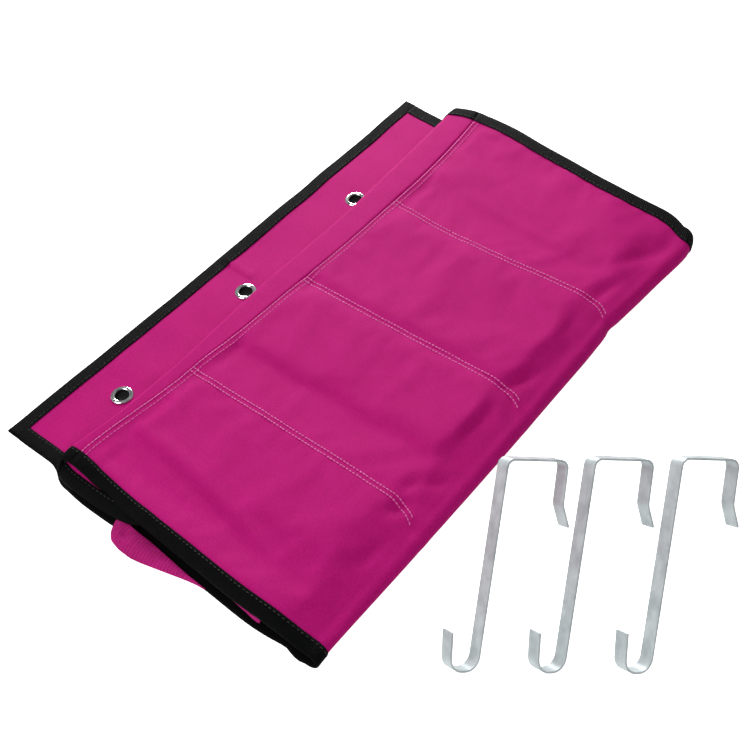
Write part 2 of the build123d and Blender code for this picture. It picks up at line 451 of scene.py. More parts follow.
# ------------------------------------------------------------------ materials (metres)
def cloth_material(name, dark, base, light, ribbed=False):
    mat, g, bsdf = new_material(name)
    uv, u, v = g.cloth_uv()
    weave = g.weave(g.phase(u, period=0.0011), g.phase(v, period=0.0011))
    if ribbed:
        rib = g.math("SINE", g.phase(u, period=0.0026))
        weave = g.math("ADD", g.scaled(rib, gain=1.4), weave)
    patches = g.noise(uv, scale=55.0, detail=5.0)
    clouds = g.noise(uv, scale=9.0, detail=3.0)
    fibres = g.noise(uv, scale=620.0, detail=4.0)
    weave_share, fibre_share = (0.22, 0.20) if ribbed else (0.16, 0.45)
    colour = g.ramp(patches, [(0.30, dark), (0.55, base), (0.78, light)])
    colour = g.mix(g.scaled(clouds, gain=0.35), colour, dark)
    colour = g.mix(g.scaled(weave, gain=weave_share), colour, light)
    colour = g.mix(fibre_share, colour, g.ramp(fibres, [(0.41, dark), (0.59, light)]))
    height = g.scaled(fibres, gain=0.9, offset=weave)
    threads = g.bump(height, strength=0.35, distance=0.0004)
    g.put(bsdf, {
        "Base Color": colour,
        "Roughness": g.scaled(fibres, gain=0.16, offset=0.60),
        "Sheen Weight": 0.015,
        "Sheen Roughness": 0.5,
        "Sheen Tint": (1.0, 0.35, 0.75, 1),
        "Specular IOR Level": 0.07,
        "Normal": g.bump(patches, strength=0.10, distance=0.0016, Normal=threads),
    })
    return mat


def tape_material(name, base, light, rib_period):
    mat, g, bsdf = new_material(name)
    uv, u, v = g.cloth_uv()
    u = g.phase(u, rib_period)
    v = g.phase(v, period=0.0013)
    ribs = g.scaled(g.math("SINE", u), gain=0.5, offset=0.5)
    height = g.math("ADD", ribs, g.scaled(g.weave(u, v), gain=0.8))
    fibres = g.noise(uv, scale=400.0, detail=5.0)
    lightness = g.math("MULTIPLY", g.scaled(height, gain=0.5), fibres)
    rough_height = g.scaled(fibres, gain=0.5, offset=height)
    g.put(bsdf, {
        "Base Color": g.mix(lightness, base, light),
        "Roughness": g.scaled(fibres, gain=0.25, offset=0.48),
        "Specular IOR Level": 0.05,
        "Sheen Weight": 0.0,
        "Normal": g.bump(rough_height, strength=0.7, distance=0.0005),
    })
    return mat


def thread_material(name, colour, dark):
    mat, g, bsdf = new_material(name)
    place = g.node("ShaderNodeTexCoord").outputs["Object"]
    fibres = g.noise(place, scale=700.0)
    g.put(bsdf, {
        "Base Color": g.mix(fibres, colour, dark),
        "Roughness": 0.55,
        "Normal": g.bump(fibres, strength=0.4, distance=0.0002),
    })
    return mat


def metal_material(name, base, dark, roughness, metallic=1.0, streak_axes=None):
    """Metal with fine scratches, or with drawn streaks along the second of three axes."""
    mat, g, bsdf = new_material(name)
    place = g.node("ShaderNodeTexCoord").outputs["Object"]
    patches = g.noise(place, scale=90.0, detail=6.0)
    cells = g.node("ShaderNodeTexVoronoi")
    g.put(cells, {"Scale": 260.0, "Vector": place})
    if streak_axes is None:
        stretched = g.node("ShaderNodeMapping")
        g.put(stretched, {"Scale": (1500.0, 1500.0, 60.0), "Vector": place})
    else:
        # fine across the strip, long along it
        stretched = g.node("ShaderNodeCombineXYZ")
        for i, (axis, scale) in enumerate(zip(streak_axes, (900.0, 14.0, 14.0))):
            dot = g.node("ShaderNodeVectorMath", operation="DOT_PRODUCT")
            g.put(dot, {0: place, 1: tuple(a * scale for a in axis)})
            g.put(stretched, {i: dot.outputs["Value"]})
    scratches = g.noise(stretched.outputs[0], scale=1.0, detail=3.0)
    colour = g.ramp(patches, [(0.32, dark), (0.62, base)])
    if streak_axes is not None:
        colour = g.mix(g.scaled(scratches, gain=0.55), colour, dark)
    colour = g.mix(g.scaled(cells.outputs["Distance"], gain=0.25), colour, dark)
    rough = g.scaled(patches, gain=roughness * 0.7, offset=roughness * 0.65)
    rough = g.scaled(scratches, gain=roughness * 0.35, offset=rough)
    height = g.math("ADD", scratches, patches)
    g.put(bsdf, {
        "Base Color": colour,
        "Metallic": metallic,
        "Roughness": rough,
        "Normal": g.bump(height, strength=0.10, distance=0.0002),
    })
    return mat


PINK = cloth_material("cloth_magenta", dark=(0.458, 0.0034, 0.153, 1),
                      base=(0.508, 0.0046, 0.176, 1), light=(0.560, 0.0090, 0.206, 1))
PINK_RIB = cloth_material("cloth_magenta_ribbed", dark=(0.360, 0.0060, 0.120, 1),
                          base=(0.520, 0.0110, 0.190, 1), light=(0.640, 0.0350, 0.280, 1),
                          ribbed=True)
TAPE = tape_material("tape_black", base=(0.0010, 0.0011, 0.0011, 1),
                     light=(0.0070, 0.0078, 0.0074, 1), rib_period=0.0016)
ELASTIC = tape_material("elastic_black", base=(0.0016, 0.0016, 0.0018, 1),
                        light=(0.012, 0.012, 0.013, 1), rib_period=0.0024)
THREAD = thread_material("thread_pink", colour=(0.86, 0.190, 0.53, 1),
                         dark=(0.70, 0.090, 0.38, 1))
THREAD_GREY = thread_material("thread_grey", colour=(0.045, 0.045, 0.048, 1),
                              dark=(0.012, 0.012, 0.013, 1))
CHROME = metal_material("eyelet_bright", base=(0.74, 0.74, 0.75, 1),
                        dark=(0.50, 0.50, 0.52, 1), roughness=0.10)
# directions in the hooks' metal strip: along it and square to that
HOOK_ALONG = np.array((0.4674, 0.7568, -0.4570))
HOOK_UP = np.array((-0.3268, 0.6282, 0.7061))
ZINC = metal_material("hook_zinc", base=(0.735, 0.80, 0.805, 1), dark=(0.47, 0.525, 0.54, 1),
                      roughness=0.42, metallic=0.36,
                      streak_axes=(np.cross(HOOK_ALONG, HOOK_UP), HOOK_ALONG, HOOK_UP))

# ------------------------------------------------------------------ outlines (mm)
# Each curve: stations, then values. The digit in a name is the length it belongs to.
# y of the edges, against x
near_y1 = curve(
    [-50, 5, 14, 24, 38, 60, 85, 100, 120, 174, 220, 238, 252, 260, 267, 274, 284],
    [-219.3, -219.6, -221.9, -227.6, -229.8, -231.2, -230.8, -229.0, -228.2, -229.0, -230.8,
     -229.8, -228.3, -230.2, -230.6, -227.8, -225.6])
far_y1 = curve([-50, 0, 40, 150, 284], [275, 271.5, 266, 262, 258])
near_y2 = curve(
    [18, 34, 60, 100, 155, 216, 255, 272, 286],
    [-218.4, -217.0, -217.8, -221.8, -225.0, -227.6, -227.6, -226.6, -225.2])
far_y2 = curve(
    [8, 20, 40, 69, 103, 138, 170, 206, 226, 240, 250, 262, 284],
    [273.5, 278.6, 281.2, 280.6, 276.2, 272.4, 268.6, 266.8, 267.2, 266.6, 264.4, 260.0, 252.0])
near_y3 = curve(
    [8, 24, 38, 60, 84, 93, 104, 114, 128, 142],
    [-220.0, -226.0, -228.0, -228.0, -227.0, -226.5, -224.5, -220.5, -218.0, -217.5])

# x of the strip edge, the seam across length 2 and the two outer folds, against y
strip_x = curve([-222, 0, 272], [-45.0, -45.4, -51.0])
seam_x = curve([-222, -200, -167, -129, -105, -63, -8, 68, 116, 172, 230, 268],
               [30, 30.5, 34, 38, 38.5, 42, 43.5, 45.5, 44.5, 43, 37, 31])
left_x = curve(
    [-222, -195, -154, -100, -50, -16, 14, 96, 125, 150, 200, 240, 270],
    [19.8, 21.6, 25.4, 25.6, 22.9, 21.0, 19.8, 19.8, 18.5, 16.8, 13.6, 10.6, 8.4])
right_x = curve(
    [-230, -222, -120, -21, 60, 110, 125, 134, 143, 160, 200, 235, 248, 257, 264],
    [279.4, 279.0, 277.6, 275.2, 272.2, 270, 268.8, 266.8, 268.0, 269, 270.5, 272, 270, 265.5,
     258])

# height of length 2 at the left fold against y, and its drop to the right fold against x
left_z = curve(
    [-222, -180, -154, -110, -60, -20, 40, 110, 150, 200, 240, 270],
    [21.4, 21.6, 21.8, 22.2, 23.2, 23.6, 23.8, 23.8, 23.4, 23.0, 22.6, 22.4])
right_drop = curve([24, 120, 200, 231, 238, 244, 262, 272, 286],
                   [0, 0, 0.0, -0.1, -0.6, -1.6, -5.6, -7.8, -10.4])

# how strongly the near edges roll down, and how far the far edge lifts, against x
near_roll2 = curve([18, 34, 45, 58, 72, 94, 114, 200, 244, 262, 286],
                   [0.40, 0.42, 0.66, 1.15, 1.30, 1.14, 0.92, 0.92, 0.72, 0.35, 0.22])
near_roll3 = curve([8, 30, 60, 84, 98, 112, 142], [0.90, 0.95, 1.0, 0.90, 0.50, 0.0, 0.0])
far_lift = curve([8, 60, 140, 220, 262, 286], [0.0, 1.0, 1.2, 1.0, 0.2, -0.8])

# column seams on the top layer: y against x
SEAMS = {
    "near": curve([20, 100, 200, 240, 256, 266, 280],
                  [-99.0, -98.6, -99.0, -99.2, -103.0, -108.5, -112.5]),
    "mid": curve([20, 100, 160, 220, 242, 258, 268, 276],
                 [27.0, 27.2, 28.4, 29.4, 28.8, 25.0, 17.0, 12.5]),
    "far": curve([20, 40, 100, 160, 220, 242, 256, 266, 278],
                 [141.5, 141.5, 138.8, 139.8, 143.2, 143.5, 140.5, 132.0, 120.0]),
}
SEAM_DEPTH = {"near": 0.45, "mid": 0.5, "far": 0.45}

# ------------------------------------------------------------------ relief of the top layer
COLUMN_Y = (-222, -99, 27, 141, 262)         # bounds of the four columns
# slope across the columns, summed to a height: y stations, then slopes
SLOPE_Y = [-222, -212, -196, -193, -166, -162, -128, -125, -101, -99, -97, -60, -57, -33, -30,
           -10, -7, 25, 27, 30, 43, 47, 62, 110, 114, 139, 141, 144, 170, 176, 200, 204, 250, 262]
SLOPES = [-0.02, -0.075, -0.075, 0.02, 0.03, -0.005, -0.01, -0.045, -0.045, 0.0, -0.03, -0.03,
          0.10, 0.085, 0.012, 0.01, -0.085, -0.09, 0.0, 0.105, 0.09, 0.045, 0.0, 0.0, -0.035,
          -0.04, 0.0, -0.02, -0.01, 0.02, 0.02, -0.015, -0.02, 0.0]

# low swellings: y centre, half width, height
PILLOWS = ((-160, 44, 0.7), (-38, 44, 0.7), (82, 44, 0.8), (205, 48, 1.0))

# long curved folds: (x0, y0, slope, bend) of the line, height,
# (start x, rise length, end x, fall length), y offset from the line, half width
NEAR_FOLDS = (
    ((36, -164.5, -0.055, -0.00058), 1.5, (40, 16, 236, 70), 2.5, 5.0),
    ((36, -164.5, -0.055, -0.00058), -0.5, (40, 16, 236, 70), -6, 4.0),
)
FAR_FOLDS = (
    ((45, 192, -0.20, 0.00055), 1.35, (40, 18, 214, 50), 3.5, 4.6),
    ((50, 223, -0.33, 0.0006), 1.0, (44, 18, 168, 40), 3.0, 4.4),
)

# puckers before the right fold: x, y, depth, angle (rad), half length, half width
PUCKERS = (
    (247, 42, 2.0, 1.25, 17, 5.0), (255, 20, 1.5, -0.5, 12, 4.0),
    (246, 158, 1.7, 1.45, 17, 5.0), (262, 131, 1.8, -0.75, 12, 4.5),
    (243, -84, 1.5, 1.5, 10, 4.0), (248, -104, 2.1, 1.1, 9, 4.5),
    (262, -109, 1.4, -0.2, 12, 4.0), (256, -70, 1.2, 0.9, 12, 5.0),
    (246, -10, 1.2, 1.5, 16, 5.0), (256, 84, 0.8, 1.45, 20, 7.0),
    (250, 214, 1.2, 1.1, 24, 6.0), (255, -150, 1.3, 1.45, 22, 6.0),
)


def relief_profile():
    """Stations in y and the relief height at each."""
    y = np.linspace(COLUMN_Y[0], COLUMN_Y[-1], 969)
    slope = np.interp(y, SLOPE_Y, SLOPES)
    for lo, hi in zip(COLUMN_Y, COLUMN_Y[1:]):      # each column nearly closes on itself
        column = (y >= lo) & (y < hi)
        slope[column] -= slope[column].mean() * 0.8
    height = np.concatenate([[0.0], np.cumsum((slope[1:] + slope[:-1]) / 2 * (y[1] - y[0]))])
    height -= np.interp(y, COLUMN_Y, np.interp(COLUMN_Y, y, height)) * 0.85
    return y, height


RELIEF_Y, RELIEF_Z = relief_profile()


def relief(x, y):
    """Soft steps of the cloth lying over the pocket pleats."""
    shift = 2.2 * np.sin(x * 0.021 + 1.0) + 1.5 * mid_noise(x, 0 * y)
    return np.interp(y + 0.6 * shift, RELIEF_Y, RELIEF_Z)


def soft_cap(z, room=2.45):
    """Eases heights above LEVEL_2 so that they never pass it by more than the room."""
    return np.where(z > LEVEL_2, LEVEL_2 + room * np.tanh((z - LEVEL_2) / room), z)


def add_folds(z, x, y, folds):
    for (x0, y0, slope, bend), height, (start, length, end, end_length), offset, half in folds:
        y_line = y0 + slope * (x - x0) + bend * (x - x0) ** 2
        reach = rise(x, start, length) * fall(x, end, end_length)
        z = z + height * reach * gauss(y - y_line, offset, half)
    return z


def press_seams(z, x, y):
    """Grooves along the column seams, and the dent along the seam across."""
    reach = rise(x, 30, 14) * fall(x, 272, 22)
    for key, depth in SEAM_DEPTH.items():
        off = y - SEAMS[key](x)
        z = z - depth * reach * (gauss(off, 0, 4.6) + 0.25 * gauss(off, 0, 13.0))
        z = z + 0.35 * reach * gauss(off, 0, 1.5)
    off = x - seam_x(y)
    ripple = 0.15 * np.sin(y * 0.31 + 2 * np.sin(y * 0.05)) * gauss(off, 0, 5)
    return z - 0.30 * gauss(off, 0, 2.4) - 1.05 * gauss(off, 9, 6.5) + ripple


def add_puckers(z, x, y):
    """Short dents with raised sides."""
    for cx, cy, depth, angle, length, width in PUCKERS:
        along = (x - cx) * math.cos(angle) + (y - cy) * math.sin(angle)
        across = -(x - cx) * math.sin(angle) + (y - cy) * math.cos(angle)
        reach = depth * gauss(along, 0, length)
        sides = gauss(across, 2.2 * width, 1.5 * width) + gauss(across, -2.2 * width, 1.5 * width)
        z = z - reach * gauss(across, 0, width) + 0.28 * reach * sides
    return z


def top_z(x, y):
    """Height of the top layer's mid surface."""
    x, y = np.asarray(x, float), np.asarray(y, float)
    z = LEVEL_2 + (left_z(y) - LEVEL_2) * np.exp(-np.clip(x - 24, 0, None) / 30.0)
    z = z + right_drop(x) - 0.09 * np.clip(x - 238, 0, 30) * fall(y, -100, 90)
    middle = rise(x, 42, 13) * fall(x, 248, 16)
    z = z + 2.5 * middle * relief(x, y)
    for centre, half, height in PILLOWS:
        z = z + rise(x, 52, 45) * fall(x, 262, 50) * height * gauss(y, centre, half)
    # the far side stands higher
    z = z + 1.2 * rise(y, 205, 60) * gauss(x, 110, 90)
    z = press_seams(z, x, y)
    # narrow ridge in the nearest column
    ridge = gauss(y + 125 - 0.012 * (x - 60), 0, 2.8)
    z = z + 0.85 * rise(x, 24, 20) * fall(x, 190, 70) * ridge
    z = add_folds(z, x, y, NEAR_FOLDS)
    z = add_puckers(z, x, y)
    z = add_folds(z, x, y, FAR_FOLDS)
    # hollow at the far side before the right fold
    z = z - 2.2 * rise(y, 170, 60) * rise(x + 0.35 * (y - 200), 205, 46) * fall(x, 268, 16)
    z = z + middle * (0.30 * broad_noise(x, y) + 0.22 * mid_noise(x, y)) + 0.08 * fine_noise(x, y)
    # held down, so that the turned-over layer still lies on the ground when opened
    return soft_cap(z)


# ------------------------------------------------------------------ layers, as point(x, w)
def edge_roll(angle, span):
    """Rolled edge: y saved and z lost against distance in from the edge."""
    t = np.linspace(0, span, 60)
    bend = np.radians(angle) * smooth(1 - t / span)

    def summed(rate):
        total = np.concatenate([[0], np.cumsum((rate[:-1] + rate[1:]) / 2 * np.diff(t))])
        left = total[-1] - total
        return lambda w: np.interp(w, t, left, right=0.0)

    return summed(1 - np.cos(bend)), summed(-np.sin(bend))


roll_y, roll_z = edge_roll(angle=50, span=20)


def rolled(near, far, roll, w):
    """y and drop in z, w mm in from a near edge that rolls down."""
    inner = near - roll_y(0) * roll
    return inner + (w / WIDTH) * (far - inner) + roll_y(w) * roll, roll_z(w) * roll


def arrays(a, b):
    return np.broadcast_arrays(np.asarray(a, float), np.asarray(b, float))


def lower_y(x, w):
    return near_y1(x) + (w / WIDTH) * (far_y1(x) - near_y1(x))


def lower(x, w):
    """Length 1."""
    x, w = arrays(x, w)
    y = lower_y(x, w)
    exposed = fall(x, 14, 12) * rise(x, -60, 10)
    away = 1.0                                      # flat round the eyelets
    for eyelet_y in EYELET_Y:
        away = away * (1 - gauss(np.hypot(x, y - eyelet_y), 0, 17))
    z = LEVEL_1 + away * exposed * (0.35 + 0.35 * mid_noise(x, y))
    z = z + fall(x, -20, 22) * (0.5 + 0.5 * broad_noise(x * 2, y))
    # crease across the strip
    crease = 1.3 * gauss(y - 14.5 + 0.05 * x, 0, 2.0) + 0.5 * gauss(y, 22, 7.0)
    z = z + exposed * crease * fall(x, -3, 8) * rise(x, -46, 10)
    return np.stack([x, y, np.maximum(z, 1.45)], -1)


def upper(x, w):
    """Length 2."""
    x, w = arrays(x, w)
    y, drop = rolled(near_y2(x), far_y2(x), near_roll2(x), w)
    z = top_z(x, y) + drop
    from_far = WIDTH - w
    z = soft_cap(z + far_lift(x) * smooth(1 - from_far / 26)) - 0.6 * smooth(1 - from_far / 5)
    z = z + 0.35 * fine_noise(x * 1.3, 0 * x) * smooth(1 - w / 14)
    return np.stack([x, y, z], -1)


def tuck(x, w):
    """Length 3."""
    x, w = arrays(x, w)
    y, drop = rolled(near_y3(x), TUCKED_FAR_Y, near_roll3(x), w)
    return np.stack([x, y, LEVEL_3 + drop * 0.95], -1)


def tail(x, w):
    """Length 4."""
    x, w = arrays(x, w)
    near = near_y3(142.0) + 1.5 * fall(x, 134, 30)
    y = near + (w / WIDTH) * (TUCKED_FAR_Y - near)
    return np.stack([x, y, np.full_like(x, LEVEL_4)], -1)


# ------------------------------------------------------------------ pieces, as surface(s, w)
def folded(s, turn, before, start, end, after, reach):
    """Points before the turn, round the nose from start to end, then after it.

    reach is how far the nose stands out along x.
    """
    lo, hi = turn
    angle = np.clip((s - lo) / (hi - lo), 0, 1) * math.pi
    share = ((1 - np.cos(angle)) / 2)[..., None]
    nose = start * (1 - share) + end * share
    nose[..., 0] = nose[..., 0] + reach * np.sin(angle)
    return np.where((s < lo)[..., None], before, np.where((s < hi)[..., None], nose, after))


def before_turn(s, turn):
    return np.clip(s / turn[0], 0, 1)


def after_turn(s, turn):
    return np.clip((s - turn[1]) / (1 - turn[1]), 0, 1)


def right_turn_x(w):
    return right_x(lower_y(280, w)) - RIGHT_RADIUS


def seam_x_at(w):
    return seam_x(upper(right_turn_x(w), w)[..., 1])


def strip_surface(s, w):
    """Length 1 from the eyelet edge to the first join."""
    s, w = arrays(s, w)
    start = strip_x(lower_y(-46, w))
    return lower(start + (JOIN_1_X - start) * s, w)


def top_surface(s, w):
    """From the first join, round the right fold, back over the top to the seam across."""
    s, w = arrays(s, w)
    turn_x = right_turn_x(w)
    return folded(
        s, TOP_TURN,
        before=lower(JOIN_1_X + (turn_x - JOIN_1_X) * before_turn(s, TOP_TURN), w),
        start=lower(turn_x, w), end=upper(turn_x, w),
        after=upper(turn_x + (seam_x_at(w) - turn_x) * after_turn(s, TOP_TURN), w),
        reach=RIGHT_RADIUS)


def tuck_surface(s, w):
    """From the seam across over the left fold, then under to the join of length 3."""
    s, w = arrays(s, w)
    seam = seam_x_at(w)
    fold_x = left_x(upper(seam, w)[..., 1])
    radius = np.minimum(LEFT_RADIUS, (seam - fold_x) * 0.75)
    turn_x = fold_x + radius
    return folded(
        s, TUCK_TURN,
        before=upper(seam + (turn_x - seam) * before_turn(s, TUCK_TURN), w),
        start=upper(turn_x, w), end=tuck(turn_x, w),
        after=tuck(turn_x + (JOIN_3_X - turn_x) * after_turn(s, TUCK_TURN), w),
        reach=-radius)


def tail_surface(s, w):
    """From the join of length 3 round the inner fold and back to the free edge."""
    s, w = arrays(s, w)
    turn_x = INNER_FOLD_X - INNER_RADIUS
    return folded(
        s, TAIL_TURN,
        before=tuck(JOIN_3_X + (turn_x - JOIN_3_X) * before_turn(s, TAIL_TURN), w),
        start=tuck(turn_x, w), end=tail(turn_x, w),
        after=tail(turn_x + (FREE_X - turn_x) * after_turn(s, TAIL_TURN), w),
        reach=INNER_RADIUS)


# ------------------------------------------------------------------ cloth
CLOTH_W = (1.1, WIDTH - 1.1)                 # the cloth ends inside the tapes
EDGE_LINES = [(12, 11, 2.2), (WIDTH - 12, 11, 2.2)]
EYELET_LINES = [((y - near_y1(0.0)) / (far_y1(0.0) - near_y1(0.0)) * WIDTH, 12, 1.2)
                for y in EYELET_Y]
w_lines = grid_lines(*CLOTH_W, 4.0, EDGE_LINES)
w_strip = grid_lines(*CLOTH_W, 4.0, EDGE_LINES + EYELET_LINES)


def attach(obj, part):
    if part == "strip":
        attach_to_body(obj, "length_1")
    else:
        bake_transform(obj)


def surface_points(surf, s, w):
    return surf(*np.meshgrid(s, w, indexing="ij"))


def back_cloth(piece, name, node, materials):
    obj = piece.build(name, materials)
    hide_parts(node)
    return obj


def cloth_strip():
    s = stations([0.004, 0.115, 0.205, 1.0], [14, 23, 56])
    points = surface_points(strip_surface, s, w_strip)
    middle = (points[1:, 1:] + points[:-1, 1:] + points[1:, :-1] + points[:-1, :-1]) / 4
    keep = np.ones(middle.shape[:2], bool)
    for eyelet_y in EYELET_Y:
        keep &= np.hypot(middle[..., 0], middle[..., 1] - eyelet_y) > EYELET_HOLE
    piece = Piece()
    shell(piece, points, CLOTH, keep)
    attach(back_cloth(piece, "cloth_strip", "panel_1", [PINK]), "strip")


def relax_top(points):
    """Puffs the top layer with a cloth simulation: the seams, edges and fold are pinned."""
    first = int(np.argmax(s_top > 0.235))
    sheet = points[first:]
    rows, columns = sheet.shape[:2]
    quads = np.stack(cell_corners(rows, columns), -1).reshape(-1, 4)
    mesh = bpy.data.meshes.new("sim")
    mesh.from_pydata((sheet.reshape(-1, 3) * MM).tolist(), [], quads.tolist())
    sim = link_object("sim", mesh)

    pinned = np.zeros((rows, columns), bool)
    pinned[:2] = pinned[-3:] = True
    pinned[:, :8] = pinned[:, -5:] = True
    for seam in SEAMS.values():
        pinned |= np.abs(sheet[..., 1] - seam(sheet[..., 0])) < 3.4
    group = sim.vertex_groups.new(name="pin")
    group.add(np.flatnonzero(pinned).tolist(), 1.0, "REPLACE")

    cloth = sim.modifiers.new("cloth", "CLOTH")
    settings = cloth.settings
    settings.quality = 6
    settings.mass = 0.12
    settings.tension_stiffness = 18
    settings.compression_stiffness = 18
    settings.shear_stiffness = 8
    settings.bending_stiffness = 2.2
    settings.vertex_group_mass = "pin"
    settings.use_pressure = True
    settings.uniform_pressure_force = 0.35
    settings.shrink_min = -0.0035
    settings.shrink_max = -0.0035
    settings.effector_weights.gravity = 0.0
    cloth.collision_settings.use_self_collision = False
    cloth.collision_settings.use_collision = False
    scene = bpy.context.scene
    scene.frame_start, scene.frame_end = 1, 24
    cloth.point_cache.frame_start, cloth.point_cache.frame_end = 1, 24
    for number in range(1, 23):
        scene.frame_set(number)
    result = sim.evaluated_get(bpy.context.evaluated_depsgraph_get())
    moved = np.array([v.co for v in result.data.vertices], float).reshape(sheet.shape) / MM
    bpy.data.objects.remove(sim)
    scene.frame_set(1)

    move = moved - sheet
    if not np.isfinite(move).all():          # the simulation blew up: keep the drawn shape
        return points
    # take a share of each move, and limit the long ones
    share, longest, highest = 0.62, 2.6, 22.5
    size = np.linalg.norm(move, axis=2, keepdims=True)
    relaxed = points.copy()
    relaxed[first:] = sheet + move * share * np.minimum(1.0, longest / np.maximum(size, 1e-6))
    relaxed[first:, :, 2] = np.minimum(relaxed[first:, :, 2], highest)
    return relaxed


def on_top(seam, x0, x1, off):
    """Polyline on the top layer's upper face beside a seam, with its normals."""
    first = int(np.argmax(s_top >= TOP_TURN[1]))
    flat = top_points[first:]
    line, up = [], []
    for x in np.linspace(x0, x1, 90):
        y = seam(x) + off
        distance = np.hypot(flat[..., 0] - x, flat[..., 1] - y)
        i, j = np.unravel_index(np.argmin(distance), distance.shape)
        i = int(np.clip(first + i, first + 1, len(s_top) - 2))
        j = int(np.clip(j, 1, len(w_lines) - 2))
        near, normal = top_points[i, j], top_normals[i, j]
        z = near[2] - (normal[0] * (x - near[0]) + normal[1] * (y - near[1])) / normal[2]
        normal = upward(normal)
        line.append(np.array([x, y, z]) + normal * (CLOTH / 2))
        up.append(normal)
    return np.array(line), np.array(up)


def top_stitches(piece):
    # twin rows beside each column seam: seam, last x, seed
    for key, x1, seed in (("near", 268, 14), ("mid", 264, 13), ("far", 264, 13)):
        x0 = float(seam_x(float(SEAMS[key](45.0)))) + 0.6
        for off, shorter in ((-2.0, 0), (2.0, 2)):
            line, up = on_top(SEAMS[key], x0, x1 - shorter, off)
            stitch(piece, line, up, pitch=3.1, length=2.7, radius=0.50, lift=0.22, seed=seed)
    # two rows along the seam across; each lies between grid rows, mostly on the first
    for row, share, thread in (
            (-1, 0.6, dict(pitch=3.3, length=2.9, radius=0.56, lift=0.30, seed=33)),
            (-3, 0.8, dict(pitch=3.4, length=2.6, radius=0.36, lift=0.12, seed=35))):
        line = top_points[row, 3:-3] * share + top_points[-2, 3:-3] * (1 - share)
        up = upward(top_normals[row, 3:-3])
        stitch(piece, line + up * (CLOTH / 2), up, **thread)


cloth_strip()

s_top = stations([0, *TOP_TURN, 1], [10, 15, 80])
top_points = surface_points(top_surface, s_top, w_lines)
top_points = relax_top(top_points)
top_normals = normals(top_points)
top_piece = Piece()
shell(top_piece, top_points, CLOTH)
top_stitches(top_piece)
top_cloth = back_cloth(top_piece, "cloth_top", "panel_2", [PINK, THREAD])

tuck_points = surface_points(tuck_surface, stations([0, *TUCK_TURN, 1], [9, 17, 34]), w_lines)
tuck_points[0] = top_points[-1]
tuck_piece = Piece()
shell(tuck_piece, tuck_points, CLOTH)
tuck_cloth = back_cloth(tuck_piece, "cloth_tuck", "panel_3", [PINK, THREAD])

tail_points = surface_points(tail_surface, stations([0, *TAIL_TURN, 0.985], [5, 9, 34]), w_lines)
tail_piece = Piece()
shell(tail_piece, tail_points, CLOTH)
tail_cloth = back_cloth(tail_piece, "cloth_tail", "panel_4", [PINK])

attach(top_cloth, "top")
attach(tuck_cloth, "tuck")
attach(tail_cloth, "tail")


# ------------------------------------------------------------------ edge tapes
def bound_edge(name, node, surf, s, w_edge, inward, dot_s, dot_radius, seed):
    """Tape with a row of grey stitches on each face."""
    piece = Piece()
    tape(piece, surf, s, w_edge, inward)
    dot_w = np.full_like(dot_s, w_edge + inward * 10.2)
    point, normal, _ = surface_frame(surf, dot_s, dot_w, inward)
    for i, up in enumerate((normal, -normal)):
        stitch(piece, point + up * 1.28, up, radius=dot_radius, seed=seed + i, **TAPE_STITCH)
    obj = piece.build(name, [TAPE, THREAD_GREY])
    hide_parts(node)
    return obj


TAPE_START_X = -34.6             # the side tapes begin where the eyelet edge tape ends
SIDE_TAPES = (
    ("strip", strip_surface,
     stations([(TAPE_START_X - EDGE_X) / (JOIN_1_X - EDGE_X), 1.0], [90])),
    ("top", top_surface, stations([0, *TOP_TURN, 1], [8, 15, 70])),
    ("tuck", tuck_surface, stations([0, *TUCK_TURN, 1], [5, 15, 34])),
    ("tail", tail_surface, stations([0, *TAIL_TURN, 0.84], [5, 8, 30])),
)
for edge, w_edge, inward in (("near", 0.0, 1), ("far", WIDTH, -1)):
    for num, (part, surf, s) in enumerate(SIDE_TAPES, 1):
        obj = bound_edge("tape_%s_%s" % (part, edge), "binding_%d_%s" % (num, edge),
                         surf, s, w_edge, inward, dot_s=s, dot_radius=0.27, seed=48 + 2 * num)
        attach(obj, part)


def end_tape(name, node, surf, s_edge, s_inner, body, seed):
    """Tape across the width; s_edge is the edge, s_inner the inner limit."""
    def turned(across, depth):
        return surf(s_edge + (s_inner - s_edge) * (depth / TAPE_DEPTH), across * WIDTH)

    obj = bound_edge(name, node, turned, np.linspace(0.0005, 0.9995, 150), 0.0, 1,
                     dot_s=np.linspace(0.03, 0.97, 120), dot_radius=0.26, seed=seed)
    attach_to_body(obj, body)


# 287 and 126 mm of cloth are what s spans on the strip and on the tail
end_tape("tape_eyelet_edge", "top_binding", strip_surface,
         s_edge=0.0, s_inner=TAPE_DEPTH / 287.0, body="length_1", seed=61)
end_tape("tape_bottom_edge", "bottom_binding", tail_surface,
         s_edge=1.0, s_inner=1.0 - TAPE_DEPTH / 126.0, body="length_4", seed=63)


# ------------------------------------------------------------------ pockets
# elastic over a pocket mouth: distance in from the mouth, height off the pocket cloth
MOUTH_SECTION = [
    (9.0, 0.42), (9.0, 0.85), (8.6, 1.0), (4.0, 1.05), (0.6, 0.95), (-0.5, 0.35), (-0.5, -0.35),
    (0.6, -0.95), (4.0, -0.98), (9.0, -0.9), (9.0, -0.42), (0.5, -0.42), (0.5, 0.42)]
PLEAT = 15                       # pleats lie this far to each side of a column seam


